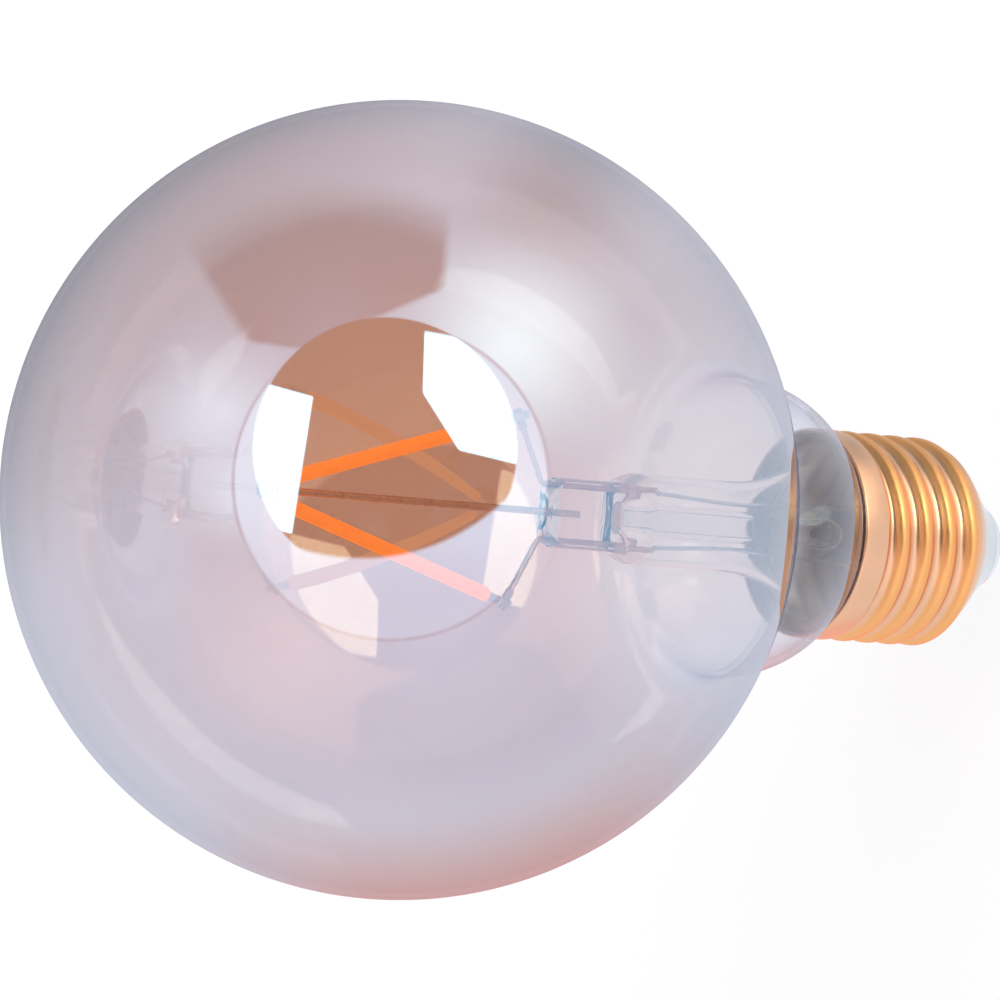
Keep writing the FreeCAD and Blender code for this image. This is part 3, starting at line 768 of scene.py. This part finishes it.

# %% [markdown]
# ## Finishes of the small pieces
# The frame's own meshes have the right shape for the wires, lugs, filaments and driver parts, so they
# a finish. The filaments' finish has a weak orange emission besides its colour, a painted glow, as no
# current runs through them. The others are one Principled surface each, with
# the colour, the size of the marks and the gloss of their own material.

# %% Phosphor of the filaments
PHOSPHOR_COLOUR = (0.98, 0.36, 0.035)
PAINTED_PHOSPHOR_GLOW = 0.9
PHOSPHOR_GRAIN = 0.00003


def phosphor_finish():
    """An orange silicone skin, filled with phosphor."""
    material, tree = empty_material("amber_phosphor")
    wander = uneven(tree, PHOSPHOR_COLOUR, scale=900.0, spread=0.06, roughness=0.45, roughness_spread=0.08)
    inputs = {
        "Base Color": wander["Color"],
        "Roughness": wander["Roughness"],
        "Emission Color": wander["Color"],
        # Painted glow: a weak orange emission on filaments that are not lit.
        "Emission Strength": PAINTED_PHOSPHOR_GLOW,
        "Normal": bump(tree, wander["Height"], PHOSPHOR_GRAIN),
    }
    put_out(tree, add_node(tree, "BsdfPrincipled", inputs=inputs))
    return material


finishes = {"phosphor": phosphor_finish(), "clear_glass": clear_glass}
print("finishes so far:", ", ".join(finishes))

# %% Metals
def metal_finish(name, colour, scale, spread, roughness, roughness_spread=0.08):
    """A drawn or plated metal with fine marks."""
    return plain_finish(name, colour, scale, spread, roughness, roughness_spread, metallic=1.0)


nickel = metal_finish("drawn_nickel_wire", (0.68, 0.55, 0.44), scale=700.0, spread=0.1, roughness=0.28)
strip = metal_finish("plated_strip", (0.72, 0.70, 0.69), scale=500.0, spread=0.08, roughness=0.3)
copper = metal_finish(
    "copper_clad_wire", (0.72, 0.48, 0.38), scale=600.0, spread=0.12, roughness=0.35, roughness_spread=0.1
)
tinned = metal_finish("tinned_wire", (0.66, 0.66, 0.67), scale=600.0, spread=0.08, roughness=0.32)
contact = metal_finish("plated_contact", (0.78, 0.80, 0.86), scale=400.0, spread=0.05, roughness=0.22)
finishes.update(
    support_wire=nickel, lug_metal=strip, seal_metal=copper, lead_metal=tinned, contact_metal=contact
)
print("finishes so far:", ", ".join(finishes))

# %% Mouldings, cement and driver parts
finishes["cement"] = plain_finish(
    "cured_cement",
    (0.72, 0.70, 0.66),
    scale=900.0,
    spread=0.15,
    roughness=0.85,
    roughness_spread=0.1,
    grain=0.00008,
)
finishes["insulator"] = plain_finish(
    "pale_moulding",
    (0.74, 0.77, 0.86),
    scale=90.0,
    spread=0.03,
    roughness=0.25,
    roughness_spread=0.06,
    grain=0.00003,
    coat=0.3,
)
finishes["board"] = plain_finish(
    "white_solder_mask", (0.70, 0.73, 0.68), scale=300.0, spread=0.05, roughness=0.4
)
finishes["capacitor_sleeve"] = plain_finish(
    "dark_sleeve", (0.02, 0.025, 0.04), scale=200.0, spread=0.2, roughness=0.3
)
finishes["chip_epoxy"] = plain_finish(
    "black_epoxy",
    (0.018, 0.018, 0.02),
    scale=900.0,
    spread=0.2,
    roughness=0.55,
    roughness_spread=0.1,
    grain=0.00003,
)
finishes["resistor_body"] = plain_finish(
    "glazed_ceramic", (0.03, 0.03, 0.035), scale=900.0, spread=0.2, roughness=0.35, roughness_spread=0.1
)
finishes["fuse_coat"] = plain_finish(
    "dipped_lacquer",
    (0.20, 0.28, 0.20),
    scale=500.0,
    spread=0.1,
    roughness=0.4,
    roughness_spread=0.1,
    grain=0.00004,
)
print("finishes:", len(finishes))

# %% Give the finishes to the frame's nodes
REMODELLED = {"globe_envelope", "stem_tube", "screw_shell"}

kept_nodes = [entry for entry in frame["record"]["subparts"] if entry["node"] not in REMODELLED]
for entry in kept_nodes:
    frame["nodes"][entry["node"]].material_slots[0].material = finishes[entry["material_slot"]]
print("frame nodes with a finish:", len(kept_nodes))

# %% [markdown]
# ## Camera
# The photograph looks at the crown from the side, with the lamp lying across the picture: the camera
# stands 33 degrees above the middle of the globe, about 0.7 m off with a long lens, and is rolled so that
# the cap points right. The three directions of that view are worked out first, because the light tent
# is set up around the same view.

# %% Directions of the view
VIEW_ELEVATION = math.radians(32.7)
VIEW_ROLL = math.radians(4.65)

to_camera = Vector((0, -math.cos(VIEW_ELEVATION), math.sin(VIEW_ELEVATION)))
along_lamp = (Vector((0, 0, 1)) - to_camera * to_camera.z).normalized()
across_lamp = Vector((1, 0, 0))
view_right = across_lamp * math.sin(VIEW_ROLL) - along_lamp * math.cos(VIEW_ROLL)
view_up = across_lamp * math.cos(VIEW_ROLL) + along_lamp * math.sin(VIEW_ROLL)
print("picture's right:", tuple(round(value, 3) for value in view_right))

# %% Set up the camera
VIEW_DISTANCE = 0.681
IMAGE_PIXELS = 1000
FOCAL_PIXELS = 5725
GLOBE_PIXEL = (400, 500)
SENSOR_WIDTH = 36.0
CLIP_END = 20.0

camera_data = bpy.data.cameras.new("photo_camera")
camera_data.sensor_width = SENSOR_WIDTH
camera_data.lens = SENSOR_WIDTH * FOCAL_PIXELS / IMAGE_PIXELS
camera_data.clip_end = CLIP_END
camera = bpy.data.objects.new("photo_camera", camera_data)
scene.collection.objects.link(camera)
camera_place = globe_centre + to_camera * VIEW_DISTANCE
aim_right = (IMAGE_PIXELS / 2 - GLOBE_PIXEL[0]) * VIEW_DISTANCE / FOCAL_PIXELS
aim_up = (GLOBE_PIXEL[1] - IMAGE_PIXELS / 2) * VIEW_DISTANCE / FOCAL_PIXELS
aim = globe_centre + view_right * aim_right + view_up * aim_up
backward = (camera_place - aim).normalized()
right = view_up.cross(backward).normalized()
upward = backward.cross(right)
camera_turn = Matrix((right, upward, backward)).transposed().to_4x4()
camera.matrix_world = Matrix.Translation(camera_place) @ camera_turn
scene.camera = camera
print("camera at", tuple(round(value, 4) for value in camera_place))

# %% [markdown]
# ## The light tent
# Mirror-like things are photographed in a white tent, through an opening, with softboxes inside the
# opening. The world is that tent. A point of it is named by the place on a mirror ball where the camera
# would see it, which is the halfway direction between it and the view, so that the opening, the
# softboxes and the darker panel can be drawn where the globe shows them. The ball is a little larger than
# the globe's outline, because a camera that stands this near sees the mirrored tent slightly enlarged.
# The drawing is fixed to the world's axes, so from another side the globe mirrors other parts of the tent.

# %% Colours of the tent
TENT_COLOUR = (0.90, 0.93, 0.95)
SHADE_COLOUR = (0.54, 0.56, 0.58)
SHEET_COLOUR = (1.0, 1.05, 1.10)
WARM_EDGE_COLOUR = (1.12, 0.66, 0.58)
LEFT_WALL_COLOUR = (2.0, 1.85, 1.7)
RIGHT_WALL_COLOUR = (2.7, 2.4, 1.95)
OPENING_COLOUR = (0.09, 0.075, 0.065)
PANEL_COLOUR = (0.26, 0.31, 0.35)
PANEL_LOW_COLOUR = (0.25, 0.43, 0.53)
SOFTBOX_COLOUR = (4.8, 5.7, 5.0)
HEM_COLOUR = (2.1, 1.85, 1.7)
HEM_LOW_COLOUR = (1.45, 1.4, 1.4)
SEAM_COLOUR = (0.88, 0.88, 0.93)
PLAIN_LIGHT = (0.85, 0.85, 0.85)
print("softbox against tent:", round(SOFTBOX_COLOUR[1] / TENT_COLOUR[1], 1))

# %% Places in the tent, in pixels of the photograph
# A disc is filled. An edge runs from its first pixel to its last, with the filled side on its left.
Disc = namedtuple("Disc", "middle radius softness")
Edge = namedtuple("Edge", "first last softness")

BALL_MIDDLE = (399.9, 499.8)
BALL_RADIUS = 411.5
OPENING = (Disc((385, 449), 131.5, 1.5), Disc((362, 355), 203, 3))
LEFT_BOX = (
    Edge((313, 397), (270, 385), 1.5),
    Edge((292, 533), (313, 397), 1.5),
    Edge((262, 525), (292, 533), 1.5),
)
RIGHT_BOX = (
    Edge((470, 340), (425, 332), 2.5),
    Edge((425, 327), (423, 393), 1.5),
    Edge((423, 393), (459, 450), 1.5),
    Edge((459, 450), (513, 463), 1.5),
)
SEAM = Disc((391, 482), 159, 2)
HEM = Disc((391, 482), 156, 2)
HEM_LOW = Edge((800, 545), (0, 545), 60)
HEM_GLOW = Disc((430, 600), 70, 110)
PANEL = (
    Disc((340, 420), 222, 32),
    Edge((442, 299), (450, 200), 7),
    Edge((204, 273), (251, 346), 9),
    Edge((246, 341), (302, 349), 4),
    Edge((396, 309), (440, 290), 4),
)
PANEL_LOW = Disc((330, 335), 30, 70)
SHEET = Edge((800, 520), (0, 520), 260)
SHADE = Edge((50, 440), (450, 60), 130)
UPPER_SHADE = Disc((552, 188), 66, 66)
WARM_EDGE = Disc((480, 910), 210, 130)
WARM_EDGE_INNER = Disc((400, 500), 358, 45)
LEFT_WALL_GLOWS = (Disc((224, 415), 35, 65), Disc((234, 492), 25, 45))
RIGHT_WALL_GLOW = Disc((512, 348), 65, 85)
print("edges of the softboxes:", len(LEFT_BOX) + len(RIGHT_BOX))

# %% Drawing on the mirror ball
def ball_point(pixel):
    """Place on the unit mirror ball of a pixel of the photograph."""
    return ((pixel[0] - BALL_MIDDLE[0]) / BALL_RADIUS, (BALL_MIDDLE[1] - pixel[1]) / BALL_RADIUS)


class TentDrawing:
    """Draws masks on the mirror-ball picture of the tent."""

    def __init__(self, tree):
        self.tree = tree
        direction = add_node(tree, "TexCoord").outputs["Generated"]
        summed = vector_node(tree, "ADD", direction, to_camera).outputs[0]
        halfway = vector_node(tree, "NORMALIZE", summed).outputs[0]
        x = vector_node(tree, "DOT_PRODUCT", halfway, view_right).outputs["Value"]
        y = vector_node(tree, "DOT_PRODUCT", halfway, view_up).outputs["Value"]
        self.spot = add_node(tree, "CombineXYZ", inputs={"X": x, "Y": y}).outputs[0]

    def below(self, value, edge, softness):
        """1 where the value is below the edge, 0 above it, soft between; the softness is in pixels."""
        soft = softness / BALL_RADIUS
        return ramp(self.tree, value, edge - soft, edge + soft, first=1.0, last=0.0)

    def disc(self, place):
        """1 inside a disc."""
        away = vector_node(self.tree, "DISTANCE", self.spot, (*ball_point(place.middle), 0))
        return self.below(away.outputs["Value"], place.radius / BALL_RADIUS, place.softness)

    def left_of(self, place):
        """1 on the left hand of someone who walks an edge from its first pixel to its last."""
        start = Vector(ball_point(place.first))
        way = Vector(ball_point(place.last)) - start
        outward = Vector((way.y, -way.x)).normalized()
        along = vector_node(self.tree, "DOT_PRODUCT", self.spot, (outward.x, outward.y, 0))
        return self.below(along.outputs["Value"], outward.dot(start), place.softness)

    def both(self, *masks):
        """1 where every mask is 1."""
        result = masks[0]
        for mask in masks[1:]:
            result = math_node(self.tree, "MULTIPLY", result, mask)
        return result

    def inside(self, *places):
        """1 inside every disc and on the left of every edge."""
        masks = [self.disc(place) if isinstance(place, Disc) else self.left_of(place) for place in places]
        return self.both(*masks)

    def outside(self, place):
        """1 outside a disc."""
        return math_node(self.tree, "SUBTRACT", 1.0, self.disc(place))


print("middle of the globe on the ball:", tuple(round(value, 4) for value in ball_point(GLOBE_PIXEL)))

# %% Hang the tent
def tent_colour(tree):
    """The tent as a mirror sees it: each layer lies over the ones before it."""
    draw = TentDrawing(tree)
    opening = draw.inside(*OPENING)
    hem_colour = mix_colour(tree, draw.inside(HEM_LOW), HEM_COLOUR, HEM_LOW_COLOUR)
    panel_colour = mix_colour(tree, draw.inside(PANEL_LOW), PANEL_COLOUR, PANEL_LOW_COLOUR)
    layers = [
        (draw.inside(SHEET), SHEET_COLOUR),
        (draw.inside(SHADE), SHADE_COLOUR),
        (draw.both(draw.inside(WARM_EDGE), draw.outside(WARM_EDGE_INNER)), WARM_EDGE_COLOUR),
        (draw.inside(UPPER_SHADE), SHADE_COLOUR),
    ]
    layers += [(draw.inside(glow), LEFT_WALL_COLOUR) for glow in LEFT_WALL_GLOWS]
    layers += [
        (draw.inside(RIGHT_WALL_GLOW), RIGHT_WALL_COLOUR),
        (draw.inside(HEM_GLOW), HEM_LOW_COLOUR),
        (draw.inside(*PANEL), panel_colour),
        (draw.inside(SEAM), SEAM_COLOUR),
        (draw.inside(HEM), hem_colour),
        (opening, OPENING_COLOUR),
        (draw.both(opening, draw.inside(*LEFT_BOX)), SOFTBOX_COLOUR),
        (draw.both(opening, draw.inside(*RIGHT_BOX)), SOFTBOX_COLOUR),
    ]
    colour = TENT_COLOUR
    for mask, laid in layers:
        colour = mix_colour(tree, mask, colour, laid)
    return colour


def make_light_tent():
    """White to the camera, the drawn tent to mirrors and glass, plain light to all else."""
    world = bpy.data.worlds.new("light_tent")
    world.use_nodes = True
    tree = world.node_tree
    tree.nodes.clear()
    path = add_node(tree, "LightPath").outputs
    seen = mix_colour(tree, path["Is Camera Ray"], PLAIN_LIGHT, WHITE)
    mirrored = math_node(tree, "MAXIMUM", path["Is Glossy Ray"], path["Is Transmission Ray"])
    colour = mix_colour(tree, mirrored, seen, tent_colour(tree))
    light = add_node(tree, "Background", inputs={"Color": colour})
    add_node(tree, "OutputWorld", inputs={"Surface": light.outputs[0]})
    return world


scene.world = make_light_tent()
print("world:", scene.world.name, "with", len(scene.world.node_tree.nodes), "nodes")

# %% [markdown]
# ## Floor and key light
# The floor is a plain white sheet. To the camera, and through glass, it glows almost white by itself, and a
# share of plain diffuse white lets the lamp's soft shadow show. To everything else it gives the weaker
# light that a white sheet bounces back. Mirrors see the tent in its place, so that the drawing has no seam.
# One large soft lamp gives the opaque pieces a lit side, and mirrors don't see it either.

# %% Lay the floor
FLOOR_SIZE = 8.0
FLOOR_GLOW = 0.8
FLOOR_BOUNCE = 0.5
FLOOR_WHITE = (0.22, 0.22, 0.22)


def make_floor_finish():
    """A white sheet that glows to the camera and through glass."""
    material, tree = empty_material("white_sheet")
    sheet = add_node(tree, "BsdfDiffuse", inputs={"Color": full_colour(FLOOR_WHITE)})
    path = add_node(tree, "LightPath").outputs
    seen = math_node(tree, "MAXIMUM", path["Is Camera Ray"], path["Is Transmission Ray"])
    strength = math_node(tree, "MULTIPLY_ADD", seen, FLOOR_GLOW - FLOOR_BOUNCE, FLOOR_BOUNCE)
    glow = add_node(tree, "Emission", inputs={"Strength": strength})
    put_out(tree, add_node(tree, "AddShader", inputs={0: sheet.outputs[0], 1: glow.outputs[0]}))
    return material


clear_selection()
bpy.ops.mesh.primitive_plane_add(size=FLOOR_SIZE, location=(0, 0, cad_box[0].z))
floor = name_piece("floor")
floor.visible_glossy = False
floor.data.materials.append(make_floor_finish())
print("floor at", round(cad_box[0].z, 4))

# %% Hang the key light
KEY_SIZE = 0.8
KEY_DISTANCE = 1.2
KEY_POWER = 6.0
KEY_LEFT = 0.4
KEY_UP = 0.7
KEY_TO_CAMERA = 0.6

key_data = bpy.data.lights.new("key_light", "AREA")
key_data.size = KEY_SIZE
key_data.energy = KEY_POWER
key = bpy.data.objects.new("key_light", key_data)
scene.collection.objects.link(key)
key_way = (to_camera * KEY_TO_CAMERA + view_up * KEY_UP - view_right * KEY_LEFT).normalized()
key.location = globe_centre + key_way * KEY_DISTANCE
key.rotation_euler = key_way.to_track_quat("Z", "Y").to_euler()
key.visible_glossy = False
key.visible_camera = False
print("key light at", tuple(round(value, 3) for value in key.location))

# %% [markdown]
# ## Render settings
# Light has to cross the globe's walls several times and the stem's glass as well, so paths may be longer
# than usual. The tent is large, so the surfaces' own rays find it, and it isn't searched for as a lamp,
# which saves time. Colours are shown as they are written, with the Standard view.

# %% Render settings
scene.view_settings.view_transform = "Standard"
scene.cycles.max_bounces = 12
scene.cycles.glossy_bounces = 6
scene.cycles.transmission_bounces = 12
scene.cycles.transparent_max_bounces = 32
scene.world.cycles.sampling_method = "NONE"
print("longest light path:", scene.cycles.max_bounces, "bounces")
